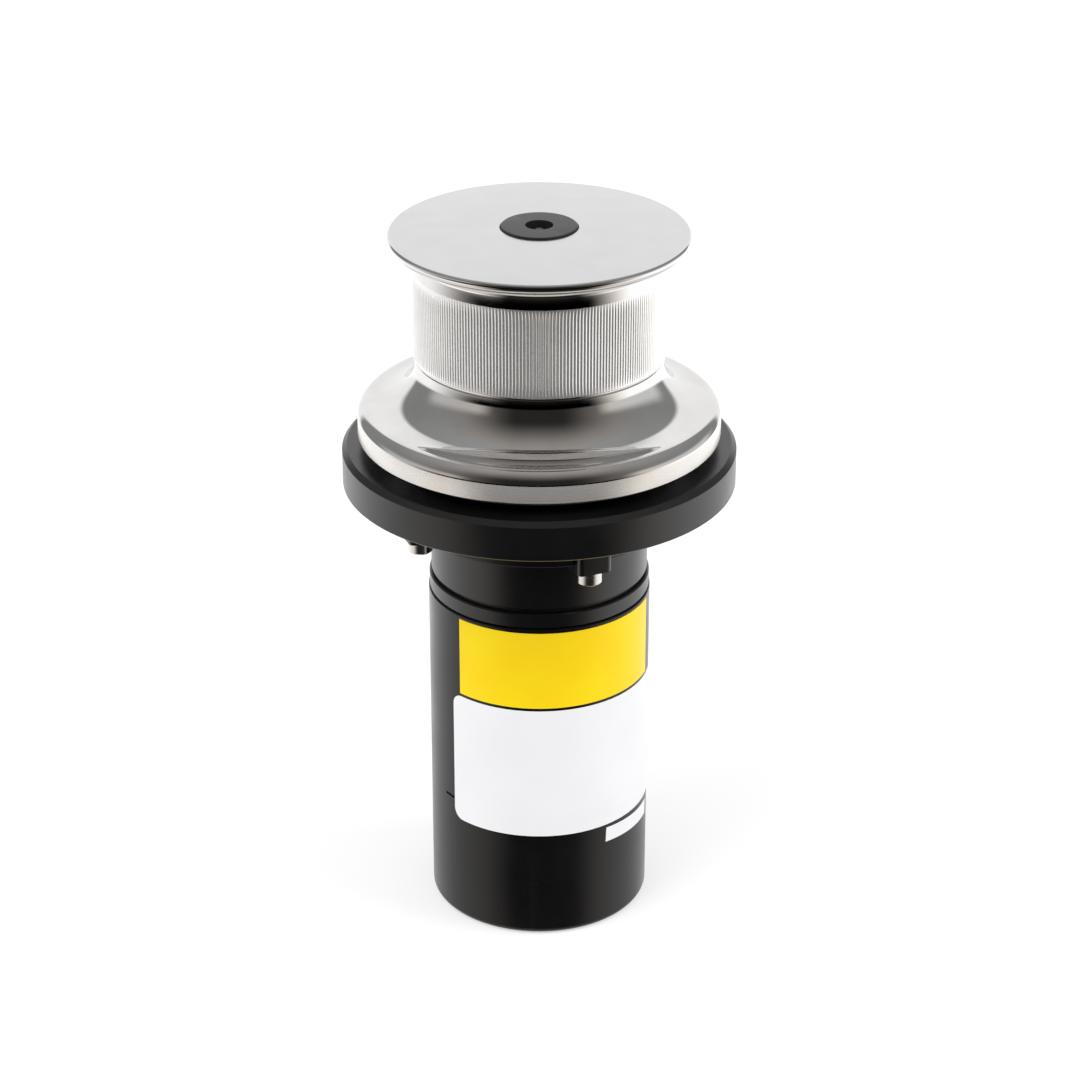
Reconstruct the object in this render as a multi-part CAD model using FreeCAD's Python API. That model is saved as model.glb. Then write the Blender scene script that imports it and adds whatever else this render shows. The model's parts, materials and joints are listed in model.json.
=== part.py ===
"""Deck capstan: a rope drum above the deck, driven through two planetary stages by a motor below it.

Millimetres. Z is the drum's axis, upwards, and Z = 0 is the deck, under the base flange. X and Y lie in the
deck. Each function makes one sub-part, or one group of like sub-parts, and main() writes each to
parts/NODE.step.
"""

import FreeCAD, Part
import math
import os

V = FreeCAD.Vector
UP = V(0, 0, 1)
AXIS = V(0, 0, 0)

# ---- driving dimensions, mm and degrees ----

# drum
BARREL_R = 50.0          # rope runs on this radius
LIP_R = 59.2             # widest part of the top
LIP_TOP_Z = 104.3
LIP_BOTTOM_Z = 99.9
LIP_TOP_ROUND = 1.2
LIP_BOTTOM_ROUND = 2.6
CROWN_Z = 106.2          # the top is domed up to here at the cap
TOP_FLARE_R = 4.5        # hollow curve under the lip
BARREL_FOOT_Z = 54.2
FOOT_STEP = 0.5          # the barrel overhangs the skirt by this much
SKIRT_FLARE_R = 17.5     # hollow curve from barrel to shoulder
SHOULDER_R = 5.5
RIM_R = 72.5
RIM_BOTTOM_Z = 20.2
RIM_EDGE_ROUND = 1.2
DRUM_WALL = 3.2
CAP_R = 15.0
CAP_TOP_Z = 107.0
CAP_SEAT_Z = 91.0        # shelf for the drum washer, inside the hub

# shaft and bearings
SHAFT_R = 12.5
SHAFT_TOP_R = 11.0
SHAFT_TOP_Z = 90.5
HUB_BOTTOM_Z = 68.5
SHAFT_BEARING = {"bore_r": 12.5, "outer_r": 26.0, "width": 15.0, "ball_r": 3.9, "pitch_r": 19.25, "balls": 9}
MOTOR_BEARING = {"bore_r": 5.0, "outer_r": 13.0, "width": 8.0, "ball_r": 2.35, "pitch_r": 9.2, "balls": 7}
BALL_PLAY = 0.1
RUNNING = 0.03           # radial clearance of plain running fits
UPPER_BEARING_Z = 43.0   # lower face of each bearing
LOWER_BEARING_Z = 3.5
FRONT_BEARING_Z = -52.3
REAR_BEARING_Z = -186.2
CIRCLIP_GROOVE = 1.5     # depth of the two housing circlip grooves
KEY_WIDTH = 6.0
KEY_LENGTH = 20.0

# base flange
FLANGE_R = 79.0
FLANGE_T = 16.1
FLANGE_CHAMFER = 2.0
TOWER_R = 31.0
TOWER_TOP_Z = 67.5
SPIGOT_R = 54.0
SPIGOT_DEPTH = 15.0
DECK_BOLT_R = 69.0
DECK_HOLE_R = 4.0
DECK_HOLE_DEPTH = 13.0

# gearbox
NECK_R = 44.0
NECK_BOTTOM_Z = -38.5
LUG_ANGLE = 22.35        # first lug, measured from -Y towards +X
LUG_WIDTH = 14.0
LUG_FRONT_R = 58.0
LUG_BOTTOM_Z = -17.8
LUG_PAD_DEPTH = 0.5      # each lug seats in a shallow pad milled into the flange's underside
LUG_GAP = 0.7            # clearance round a lug in its notch
LUG_SCREW_R = 51.5
LUG_ROUND = 2.0
MODULE = 1.25
RING_TEETH = 60
SUN_TEETH = 12
PLANET_TEETH = 24
PLANETS = 3
PRESSURE_ANGLE = math.radians(20)
ADDENDUM = 0.85          # stub teeth, in modules
DEDENDUM = 1.15
TOOTH_THINNING = 0.10    # taken off each tooth's thickness for backlash
RING_R = 41.0
OUTPUT_STAGE_Z = (-18.6, -9.1)   # faces of the planets that drive the drum
INPUT_STAGE_Z = (-32.6, -25.0)   # faces of the planets that the motor drives
OUTPUT_CARRIER_Z = (-8.5, -1.5)
MIDDLE_CARRIER_Z = (-24.6, -20.2)
CARRIER_R = 33.0
PIN_R = 4.0
PIN_HEAD_R = 6.0
HEX_ACROSS_FLATS = 20.0

# motor
PLATE_R = 44.8
PLATE_TOP_Z = -34.8
COLLAR_R = 43.0
COLLAR_Z = -40.0
SEAM_Z = -46.4
CASING_R = 45.2
CASING_WALL = 2.6
CASING_TOP_Z = -46.8
CASING_BOTTOM_Z = -189.3
CASING_ROUND = 3.0
BOTTOM_WALL = 4.0
MAGNET_Z = (-148.0, -68.0)
MAGNET_INNER_R = 34.6
CORE_R = 33.8
CORE_Z = (-140.0, -75.0)
CORE_SLOTS = 12
MOTOR_SHAFT_R = 5.0
COMMUTATOR_R = 15.0
COMMUTATOR_Z = (-175.0, -159.0)
COMMUTATOR_BARS = 24
BRUSH_PLATE_Z = (-177.0, -174.5)
BRUSHES = 4
THROUGH_BOLT_CIRCLE_R = 37.5
THROUGH_BOLT_R = 2.5
GROMMET_Z = -162.0
GROMMET_HOLE_R = 8.5
LEAD_R = 6.0
SLOT_ANGLE = (-58.4, -46.0)      # short slot in the casing, measured from -Y towards +X
SLOT_Z = -133.1
SLOT_HEIGHT = 1.0


# ---- small tools ----

def turned(outline):
    """A solid turned about Z. outline holds (r, z) points, and an arc is a pair: one on it, and its end."""
    def place(point):
        return V(point[0], 0, point[1])

    edges = []
    at = outline[0]
    for step in outline[1:] + [outline[0]]:
        if isinstance(step[0], tuple):
            middle, end = step
            edges.append(Part.Arc(place(at), place(middle), place(end)).toShape())
        else:
            end = step
            if math.dist(at, end) > 1e-6:
                edges.append(Part.LineSegment(place(at), place(end)).toShape())
        at = end
    return Part.Face(Part.Wire(edges)).revolve(AXIS, UP, 360)


def quarter(centre, radius, start_deg, end_deg):
    """An arc for turned(), about centre. The outline has already reached start_deg."""
    middle = math.radians((start_deg + end_deg) / 2)
    end = math.radians(end_deg)
    return (
        (centre[0] + radius * math.cos(middle), centre[1] + radius * math.sin(middle)),
        (centre[0] + radius * math.cos(end), centre[1] + radius * math.sin(end)),
    )


def disc(radius, z_low, z_high, x=0.0, y=0.0):
    return Part.makeCylinder(radius, z_high - z_low, V(x, y, z_low))


def tube(inner_r, outer_r, z_low, z_high):
    return disc(outer_r, z_low, z_high).cut(disc(inner_r, z_low - 1, z_high + 1))


def block(x_low, x_high, y_half, z_low, z_high):
    """A block that lies along +X and is centred on it."""
    return Part.makeBox(x_high - x_low, 2 * y_half, z_high - z_low, V(x_low, -y_half, z_low))


def spun(shape, degrees):
    copy = shape.copy()
    copy.rotate(AXIS, UP, degrees)
    return copy


def ring_of(shape, count, first_deg=0.0):
    """count copies of shape, evenly spaced about Z."""
    return [spun(shape, first_deg + 360.0 * i / count) for i in range(count)]


def hexagon(across_flats, z_low, z_high):
    radius = across_flats / math.sqrt(3)
    corners = [V(radius * math.cos(math.radians(60 * i)), radius * math.sin(math.radians(60 * i)), z_low)
               for i in range(7)]
    return Part.Face(Part.makePolygon(corners)).extrude(V(0, 0, z_high - z_low))


def from_front(degrees):
    """The angle about Z from +X, for an angle measured from -Y towards +X."""
    return degrees - 90.0


# ---- gear teeth ----

def involute(base_r, radius):
    """How far round its base circle an involute has turned when it reaches radius, in radians."""
    if radius <= base_r:
        return 0.0
    roll = math.sqrt((radius / base_r) ** 2 - 1)
    return roll - math.atan(roll)


def toothed_disc(teeth, tip_r, root_r, thinning, turn, z_low, z_high):
    """A spur gear's solid. Each flank is an arc through three points of the true involute.

    turn is the angle of the middle of one tooth, in radians.
    """
    pitch_r = MODULE * teeth / 2
    base_r = pitch_r * math.cos(PRESSURE_ANGLE)
    half_tooth = math.pi / (2 * teeth) - thinning / (2 * pitch_r)
    widest = half_tooth + involute(base_r, pitch_r)
    start_r = max(root_r, base_r)

    def point(radius, angle):
        return V(radius * math.cos(angle), radius * math.sin(angle), z_low)

    def flank(radius):
        return widest - involute(base_r, radius)

    edges = []
    for i in range(teeth):
        centre = turn + 2 * math.pi * i / teeth
        after = centre + 2 * math.pi / teeth
        middle_r = (start_r + tip_r) / 2
        rising = [point(r, centre - flank(r)) for r in (start_r, middle_r, tip_r)]
        falling = [point(r, centre + flank(r)) for r in (tip_r, middle_r, start_r)]
        foot = point(root_r, centre - flank(start_r))
        far_foot = point(root_r, centre + flank(start_r))
        next_foot = point(root_r, after - flank(start_r))
        if start_r > root_r:
            edges.append(Part.LineSegment(foot, rising[0]).toShape())
        edges.append(Part.Arc(*rising).toShape())
        edges.append(Part.Arc(rising[2], point(tip_r, centre), falling[0]).toShape())
        edges.append(Part.Arc(*falling).toShape())
        if start_r > root_r:
            edges.append(Part.LineSegment(falling[2], far_foot).toShape())
        edges.append(Part.Arc(far_foot, point(root_r, (centre + after) / 2), next_foot).toShape())
    return Part.Face(Part.Wire(edges)).extrude(V(0, 0, z_high - z_low))


def outside_gear(teeth, turn, z_low, z_high):
    pitch_r = MODULE * teeth / 2
    return toothed_disc(teeth, pitch_r + ADDENDUM * MODULE, pitch_r - DEDENDUM * MODULE, TOOTH_THINNING,
                        turn, z_low, z_high)


PLANET_ORBIT_R = MODULE * (SUN_TEETH + PLANET_TEETH) / 2


def planet_angle(i):
    return 2 * math.pi * i / PLANETS


def planet_turn(i):
    """The angle of one planet's tooth that puts it in mesh with the sun, which has a tooth on +X."""
    orbit = planet_angle(i)
    return orbit + math.pi + (2 * math.pi / PLANET_TEETH) * (0.5 + SUN_TEETH * orbit / (2 * math.pi))


def planet_gear(i, stage_z):
    orbit = planet_angle(i)
    gear = outside_gear(PLANET_TEETH, planet_turn(i), *stage_z)
    gear = gear.cut(disc(PIN_R + RUNNING, stage_z[0] - 1, stage_z[1] + 1))
    gear.translate(V(PLANET_ORBIT_R * math.cos(orbit), PLANET_ORBIT_R * math.sin(orbit), 0))
    return gear


def planet_pins(bottom_z, top_z):
    """Three pins, each with a head under its planet."""
    pin = disc(PIN_R, bottom_z, top_z).fuse(disc(PIN_HEAD_R, bottom_z, bottom_z + 1.0))
    pin.translate(V(PLANET_ORBIT_R, 0, 0))
    return ring_of(pin, PLANETS)


def pin_holes(z_low, z_high):
    return Part.makeCompound(ring_of(disc(PIN_R, z_low - 1, z_high + 1, PLANET_ORBIT_R), PLANETS))


def ring_gear():
    """Both stages share this ring. Its gaps are cut by a gear with the same pitch circle."""
    top, bottom = -8.8, -34.3
    pitch_r = MODULE * RING_TEETH / 2
    # over the first planet the planet has a gap, so the ring has a tooth there
    gap_turn = math.pi / RING_TEETH
    cutter = toothed_disc(RING_TEETH, pitch_r + DEDENDUM * MODULE, pitch_r - ADDENDUM * MODULE,
                          -TOOTH_THINNING, gap_turn, bottom - 1, top + 1)
    return disc(RING_R, bottom, top).cut(cutter)


# ---- bearings ----

def ball_bearing(name, size, z_low):
    """The four pieces of a deep-groove ball bearing whose lower face is at z_low."""
    z_mid = z_low + size["width"] / 2
    z_high = z_low + size["width"]
    pitch_r, ball_r = size["pitch_r"], size["ball_r"]
    shoulder = 0.66 * ball_r
    groove = Part.makeTorus(pitch_r, ball_r + BALL_PLAY, V(0, 0, z_mid))
    outer = tube(pitch_r + shoulder, size["outer_r"], z_low, z_high).cut(groove)
    inner = tube(size["bore_r"], pitch_r - shoulder, z_low, z_high).cut(groove)
    first_deg = 180.0 / size["balls"]
    ball = Part.makeSphere(ball_r, V(pitch_r, 0, z_mid))
    cage_half = 0.28 * ball_r
    pocket_start = V(pitch_r - 2 * cage_half, 0, z_mid)
    pocket = Part.makeCylinder(ball_r + 1.5 * BALL_PLAY, 4 * cage_half, pocket_start, V(1, 0, 0))
    cage_height = ball_r + 0.7
    cage = tube(pitch_r - cage_half, pitch_r + cage_half, z_mid - cage_height, z_mid + cage_height)
    cage = cage.cut(Part.makeCompound(ring_of(pocket, size["balls"], first_deg)))
    return {
        name + "_outer_race": [outer],
        name + "_inner_race": [inner],
        name + "_balls": ring_of(ball, size["balls"], first_deg),
        name + "_cage": [cage],
    }


def circlip(inner_r, outer_r, z_low, z_high, eyes_r):
    """A spring ring with a gap on +X and an eye on each side of it, centred on the radius eyes_r."""
    clip = tube(inner_r, outer_r, z_low, z_high)
    gap_angle = 9.0
    gap = block(inner_r - 3, outer_r + 3, 2.2, z_low - 1, z_high + 1)
    clip = clip.cut(gap)
    for side in (-gap_angle, gap_angle):
        eye = disc(2.4, z_low, z_high, eyes_r).cut(disc(1.1, z_low - 1, z_high + 1, eyes_r))
        clip = clip.fuse(spun(eye, side)).cut(spun(disc(1.1, z_low - 1, z_high + 1, eyes_r), side))
    return clip.cut(gap)


# ---- drum and what turns with it ----

def drum():
    """Turned stainless bell with a keyed hub: domed top, lip, barrel, hollow flare, shoulder and rim."""
    flare_r = BARREL_R - FOOT_STEP + SKIRT_FLARE_R
    flare_z = RIM_BOTTOM_Z + 31.2
    shoulder_z = flare_z - SKIRT_FLARE_R - SHOULDER_R
    inner_flare = SKIRT_FLARE_R + DRUM_WALL
    inner_r = BARREL_R - FOOT_STEP - DRUM_WALL
    crown_mid = ((CAP_R + LIP_R) / 2, CROWN_Z - 0.3 * (CROWN_Z - LIP_TOP_Z))
    lip_top_r = LIP_R - LIP_TOP_ROUND
    lip_bottom_r = LIP_R - LIP_BOTTOM_ROUND
    top_flare = (BARREL_R + TOP_FLARE_R, LIP_BOTTOM_Z - TOP_FLARE_R)
    rim_inner_r = RIM_R - DRUM_WALL
    hub_r = 18.0
    roof_z = 97.0
    outline = [
        (CAP_R + 0.2, CROWN_Z),
        (crown_mid, (lip_top_r, LIP_TOP_Z)),
        quarter((lip_top_r, LIP_TOP_Z - LIP_TOP_ROUND), LIP_TOP_ROUND, 90, 0),
        (LIP_R, LIP_BOTTOM_Z + LIP_BOTTOM_ROUND),
        quarter((lip_bottom_r, LIP_BOTTOM_Z + LIP_BOTTOM_ROUND), LIP_BOTTOM_ROUND, 0, -90),
        (top_flare[0], LIP_BOTTOM_Z),
        quarter(top_flare, TOP_FLARE_R, 90, 180),
        (BARREL_R, BARREL_FOOT_Z),
        (BARREL_R - FOOT_STEP, BARREL_FOOT_Z - 2 * FOOT_STEP),
        (BARREL_R - FOOT_STEP, flare_z),
        quarter((flare_r, flare_z), SKIRT_FLARE_R, 180, 270),
        quarter((flare_r, shoulder_z), SHOULDER_R, 90, 0),
        (RIM_R, RIM_BOTTOM_Z + RIM_EDGE_ROUND),
        quarter((RIM_R - RIM_EDGE_ROUND, RIM_BOTTOM_Z + RIM_EDGE_ROUND), RIM_EDGE_ROUND, 0, -90),
        (rim_inner_r, RIM_BOTTOM_Z),
        (rim_inner_r, shoulder_z),
        quarter((flare_r, shoulder_z), rim_inner_r - flare_r, 0, 90),
        quarter((flare_r, flare_z), inner_flare, 270, 180),
        (inner_r, roof_z - 4),
        (inner_r - 4, roof_z),
        (hub_r + 4, roof_z),
        (hub_r, roof_z - 4),
        (hub_r, HUB_BOTTOM_Z),
        (SHAFT_TOP_R, HUB_BOTTOM_Z),
        (SHAFT_TOP_R, CAP_SEAT_Z),
        (CAP_R + 0.2, CAP_SEAT_Z),
    ]
    keyway = block(SHAFT_TOP_R - 3, SHAFT_TOP_R + 2.8, KEY_WIDTH / 2, HUB_BOTTOM_Z - 1, CAP_SEAT_Z)
    return [turned(outline).cut(keyway)]


def drum_cap():
    """Push-in plug over the drum bolt, with a round recess and a moulding pip standing in its middle."""
    wall, roof_z, edge = 3.2, 103.6, 0.6
    recess_r, recess_floor = 5.5, 103.8
    pip_r, pip_top, pip_edge = 1.7, 105.4, 0.5
    well_r, well_roof = recess_r + 1.6, recess_floor - 1.2
    outline = [
        (0, pip_top), (pip_r - pip_edge, pip_top),
        quarter((pip_r - pip_edge, pip_top - pip_edge), pip_edge, 90, 0),
        (pip_r, recess_floor), (recess_r, recess_floor), (recess_r, CAP_TOP_Z),
        (CAP_R - edge, CAP_TOP_Z), quarter((CAP_R - edge, CAP_TOP_Z - edge), edge, 90, 0),
        (CAP_R, 94.5), (CAP_R - wall, 94.5), (CAP_R - wall, roof_z),
        (well_r, roof_z), (well_r, well_roof), (0, well_roof),
    ]
    return [turned(outline)]


def cap_screw(shank_r, head_r, head_height, socket, seat_z, tip_z):
    """A socket-head screw. The head lies beyond seat_z, on the far side from tip_z."""
    away = 1.0 if seat_z > tip_z else -1.0
    head_z = seat_z + away * head_height
    edge = 0.5
    outline = [
        (0, tip_z), (shank_r - edge, tip_z), (shank_r, tip_z + away * edge), (shank_r, seat_z),
        (head_r, seat_z), (head_r, head_z - away * edge), (head_r - edge, head_z), (0, head_z),
    ]
    depth = 0.5 * head_height
    low, high = sorted((head_z - away * depth, head_z + away))
    return turned(outline).cut(hexagon(socket, low, high))


def drum_bolt():
    return [cap_screw(4.0, 6.5, 8.0, 6.0, CAP_SEAT_Z + 2.5, SHAFT_TOP_Z - 20)]


def drum_washer():
    return [tube(4.2, 14.0, CAP_SEAT_Z, CAP_SEAT_Z + 2.5)]


def drum_key():
    return [block(SHAFT_TOP_R - 3.5, SHAFT_TOP_R + 2.5, KEY_WIDTH / 2, SHAFT_TOP_Z - 0.5 - KEY_LENGTH,
                  SHAFT_TOP_Z - 0.5)]


def output_shaft():
    """Stepped shaft: hexagon for the carrier, a bearing seat each side of a thicker middle, keyed top."""
    thick_r = 15.0
    lower_seat_top = LOWER_BEARING_Z + SHAFT_BEARING["width"]
    groove_z = LOWER_BEARING_Z - 1.25
    outline = [
        (0, OUTPUT_CARRIER_Z[1]), (SHAFT_R, OUTPUT_CARRIER_Z[1]), (SHAFT_R, groove_z),
        (SHAFT_R - 0.8, groove_z), (SHAFT_R - 0.8, LOWER_BEARING_Z), (SHAFT_R, LOWER_BEARING_Z),
        (SHAFT_R, lower_seat_top), (thick_r, lower_seat_top), (thick_r, UPPER_BEARING_Z),
        (SHAFT_R, UPPER_BEARING_Z), (SHAFT_R, HUB_BOTTOM_Z), (SHAFT_TOP_R, HUB_BOTTOM_Z),
        (SHAFT_TOP_R, SHAFT_TOP_Z - 1), (SHAFT_TOP_R - 1, SHAFT_TOP_Z), (4.0, SHAFT_TOP_Z),
        (4.0, SHAFT_TOP_Z - 22), (0, SHAFT_TOP_Z - 24),
    ]
    keyseat = block(SHAFT_TOP_R - 3.5, SHAFT_TOP_R + 3, KEY_WIDTH / 2, SHAFT_TOP_Z - 0.5 - KEY_LENGTH,
                    SHAFT_TOP_Z + 1)
    return [turned(outline).cut(keyseat).fuse(hexagon(HEX_ACROSS_FLATS, *OUTPUT_CARRIER_Z))]


def output_carrier():
    """Carrier of the output stage. The output shaft's hexagon fills its middle."""
    z_low, z_high = OUTPUT_CARRIER_Z
    plate = disc(CARRIER_R, z_low, z_high).cut(hexagon(HEX_ACROSS_FLATS, z_low - 1, z_high + 1))
    return [plate.cut(pin_holes(z_low, z_high))]


def shaft_circlip():
    return [circlip(SHAFT_R - 0.8, SHAFT_R + 2.6, LOWER_BEARING_Z - 1.2, LOWER_BEARING_Z, SHAFT_R + 2.4)]


# ---- the free carrier between the stages, and the motor's sun ----

def middle_carrier():
    z_low, z_high = MIDDLE_CARRIER_Z
    return [tube(6.0, CARRIER_R, z_low, z_high).cut(pin_holes(z_low, z_high))]


def output_sun():
    """Sun of the output stage, with a stem pressed into the middle carrier."""
    gear = outside_gear(SUN_TEETH, 0.0, MIDDLE_CARRIER_Z[1], OUTPUT_STAGE_Z[1])
    return [gear.fuse(disc(6.0, MIDDLE_CARRIER_Z[0], MIDDLE_CARRIER_Z[1]))]


def input_sun():
    z_low, z_high = INPUT_STAGE_Z[0] - 0.8, INPUT_STAGE_Z[1] - 0.2
    return [outside_gear(SUN_TEETH, 0.0, z_low, z_high).cut(disc(4.0, z_low - 1, z_high + 1))]


# ---- base and gearbox ----

def lug_angles():
    return [from_front(LUG_ANGLE) + 90 * i for i in range(4)]


def base_flange():
    """Deck flange with the bearing tower above it and a notched spigot below it."""
    bearing_r = SHAFT_BEARING["outer_r"]
    groove_r = bearing_r + CIRCLIP_GROOVE
    lower_top = LOWER_BEARING_Z + SHAFT_BEARING["width"]
    upper_top = UPPER_BEARING_Z + SHAFT_BEARING["width"]
    spigot_inner_r = NECK_R + 0.1
    outline = [
        (spigot_inner_r, -SPIGOT_DEPTH), (SPIGOT_R - 0.5, -SPIGOT_DEPTH), (SPIGOT_R, 0.5 - SPIGOT_DEPTH),
        (SPIGOT_R, 0), (FLANGE_R - 0.5, 0), (FLANGE_R, 0.5),
        (FLANGE_R, FLANGE_T - FLANGE_CHAMFER), (FLANGE_R - FLANGE_CHAMFER, FLANGE_T),
        (TOWER_R + 8, FLANGE_T), quarter((TOWER_R + 8, FLANGE_T + 8), 8, 270, 180),
        (TOWER_R, TOWER_TOP_Z - 1), (TOWER_R - 1, TOWER_TOP_Z), (bearing_r, TOWER_TOP_Z),
        (bearing_r, upper_top + 2.1), (groove_r, upper_top + 2.1), (groove_r, upper_top),
        (bearing_r, upper_top),
        (bearing_r, UPPER_BEARING_Z), (bearing_r - 4, UPPER_BEARING_Z), (bearing_r - 4, lower_top),
        (bearing_r, lower_top), (bearing_r, LOWER_BEARING_Z), (groove_r, LOWER_BEARING_Z),
        (groove_r, LOWER_BEARING_Z - 2.1), (bearing_r, LOWER_BEARING_Z - 2.1), (bearing_r, 0),
        (spigot_inner_r, 0),
    ]
    flange = turned(outline)
    notch_half = LUG_WIDTH / 2 + LUG_GAP
    notch = block(NECK_R - 2, LUG_FRONT_R + LUG_GAP, notch_half, -SPIGOT_DEPTH - 1, LUG_PAD_DEPTH)
    screw_hole = disc(3.05, -1, 11.5, LUG_SCREW_R)
    for angle in lug_angles():
        flange = flange.cut(spun(notch, angle)).cut(spun(screw_hole, angle))
    deck_hole = disc(DECK_HOLE_R, -1, DECK_HOLE_DEPTH, DECK_BOLT_R)
    for angle in lug_angles():
        flange = flange.cut(spun(deck_hole, angle + 45))
    return [flange]


def bearing_circlips():
    """The two circlips that keep the shaft bearings in the base flange."""
    outer_r = SHAFT_BEARING["outer_r"] + CIRCLIP_GROOVE - 0.1
    upper_z = UPPER_BEARING_Z + SHAFT_BEARING["width"]
    inner_r = outer_r - 3.6
    return [
        circlip(inner_r, outer_r, upper_z, upper_z + 2.0, inner_r + 0.2),
        circlip(inner_r, outer_r, LOWER_BEARING_Z - 2.0, LOWER_BEARING_Z, inner_r + 0.2),
    ]


def lip_seal(bore_r, outer_r, z_low, z_high):
    """A rubber shaft seal with one lip, open below, and a hollow for its garter spring."""
    lip_r = bore_r + RUNNING
    height = z_high - z_low
    lip_z = z_low + 0.2 * height
    return turned([
        (lip_r, z_low + 0.35 * height), (lip_r + 0.6, lip_z), (lip_r + 1.8, lip_z),
        (lip_r + 1.8, z_high - 1.6), (outer_r - 1.5, z_high - 1.6), (outer_r - 1.5, z_low),
        (outer_r, z_low), (outer_r, z_high),
        (lip_r + 0.5, z_high), (lip_r + 0.5, z_low + 0.55 * height),
    ])


def shaft_seal():
    low = UPPER_BEARING_Z + SHAFT_BEARING["width"] + 2.3
    return [lip_seal(SHAFT_R, SHAFT_BEARING["outer_r"], low, low + 7.0)]


def gearbox_housing():
    """Round neck under the deck, with four lugs that reach up between the spigot's parts."""
    inner_r, face_groove = CARRIER_R + 2, (38.4, 41.2, 1.4)
    neck = turned([
        (inner_r, -8.8), (inner_r, 0), (face_groove[0], 0), (face_groove[0], -face_groove[2]),
        (face_groove[1], -face_groove[2]), (face_groove[1], 0), (NECK_R, 0), (NECK_R, NECK_BOTTOM_Z + 0.5),
        (NECK_R - 0.5, NECK_BOTTOM_Z), (RING_R, NECK_BOTTOM_Z), (RING_R, -8.8),
    ])
    lug = block(NECK_R - 1.5, LUG_FRONT_R, LUG_WIDTH / 2, LUG_BOTTOM_Z, LUG_PAD_DEPTH)
    upright = [e for e in lug.Edges if e.BoundBox.ZLength > 1 and e.CenterOfMass.x > LUG_SCREW_R]
    lug = lug.makeFillet(LUG_ROUND, upright)
    hole = disc(3.3, LUG_BOTTOM_Z - 1, 1, LUG_SCREW_R)
    for angle in lug_angles():
        neck = neck.fuse(spun(lug, angle)).cut(spun(hole, angle))
    return [neck.removeSplitter()]


def gearbox_screws():
    screw = cap_screw(3.0, 5.0, 6.0, 5.0, LUG_BOTTOM_Z, 9.5)
    screw.translate(V(LUG_SCREW_R, 0, 0))
    return [spun(screw, angle) for angle in lug_angles()]


def o_ring(ring_r, section_r, z):
    return Part.makeTorus(ring_r, section_r, V(0, 0, z))


def flange_o_ring():
    return [o_ring(39.8, 0.7, -0.7)]


def plate_o_ring():
    return [o_ring(40.1, 0.88, -36.7)]


# ---- motor ----

def through_bolt_places():
    return [(THROUGH_BOLT_CIRCLE_R, 0.0), (-THROUGH_BOLT_CIRCLE_R, 0.0)]


def motor_front_plate():
    """Joins motor and gearbox: register with a seal groove, collar, rim, and the front bearing's seat."""
    pocket_r, seal_r = MOTOR_BEARING["outer_r"], 11.0
    casing_inner_r = CASING_R - CASING_WALL
    register_r = RING_R - 0.1
    outline = [
        (seal_r, PLATE_TOP_Z), (register_r, PLATE_TOP_Z), (register_r, -35.6), (39.2, -35.6), (39.2, -37.8),
        (register_r, -37.8), (register_r, NECK_BOTTOM_Z), (COLLAR_R, NECK_BOTTOM_Z), (COLLAR_R, COLLAR_Z),
        (PLATE_R - 0.5, COLLAR_Z), (PLATE_R, COLLAR_Z - 0.5), (PLATE_R, SEAM_Z + 0.4),
        (PLATE_R - 0.4, SEAM_Z), (casing_inner_r + 1, SEAM_Z), (casing_inner_r + 1, CASING_TOP_Z),
        (casing_inner_r - 0.1, CASING_TOP_Z), (casing_inner_r - 0.1, -52), (casing_inner_r - 1.1, -53),
        (32, -53), (32, -48), (18, -48), (18, -53),
        (pocket_r, -53), (pocket_r, FRONT_BEARING_Z + MOTOR_BEARING["width"]), (7, -44.3), (7, -41.2),
        (seal_r, -41.2),
    ]
    plate = turned(outline)
    for x, y in through_bolt_places():
        plate = plate.cut(disc(THROUGH_BOLT_R + 0.05, -54, -42, x, y))
    return [plate]


def motor_shaft_seal():
    return [lip_seal(MOTOR_SHAFT_R, 11.0, -41.2, -35.2)]


def casing_slot():
    """A short slot round the casing's wall, as a ring sector to cut away."""
    low, high = (from_front(a) for a in SLOT_ANGLE)
    bottom_z = SLOT_Z - SLOT_HEIGHT / 2
    sector = tube(CASING_R - 1.2, CASING_R + 1, bottom_z, bottom_z + SLOT_HEIGHT)
    wedge = Part.makeCylinder(CASING_R + 5, SLOT_HEIGHT + 2, V(0, 0, bottom_z - 1), UP, high - low)
    return sector.common(spun(wedge, low))


def motor_casing():
    """Drawn can, closed at the bottom, with the rear bearing's seat in its floor."""
    inner_r = CASING_R - CASING_WALL
    floor_z = CASING_BOTTOM_Z + BOTTOM_WALL
    seat_r = MOTOR_BEARING["outer_r"]
    seat_top = REAR_BEARING_Z + MOTOR_BEARING["width"]
    outline = [
        (inner_r, CASING_TOP_Z), (CASING_R - 0.4, CASING_TOP_Z), (CASING_R, CASING_TOP_Z - 0.4),
        (CASING_R, CASING_BOTTOM_Z + CASING_ROUND),
        quarter((CASING_R - CASING_ROUND, CASING_BOTTOM_Z + CASING_ROUND), CASING_ROUND, 0, -90),
        (0, CASING_BOTTOM_Z), (0, CASING_BOTTOM_Z + 2.3), (seat_r, CASING_BOTTOM_Z + 2.3),
        (seat_r, seat_top), (seat_r + 3.5, seat_top), (seat_r + 3.5, floor_z), (inner_r - 2, floor_z),
        quarter((inner_r - 2, floor_z + 2), 2, 270, 360),
    ]
    can = turned(outline).cut(casing_slot())
    for x, y in through_bolt_places():
        can = can.cut(bolt_head_and_shank(THROUGH_BOLT_R + 0.1, 0.1, x, y, -182))
    opening = Part.makeCylinder(GROMMET_HOLE_R, 12, V(0, inner_r - 6, GROMMET_Z), V(0, 1, 0))
    return [can.cut(opening)]


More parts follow.
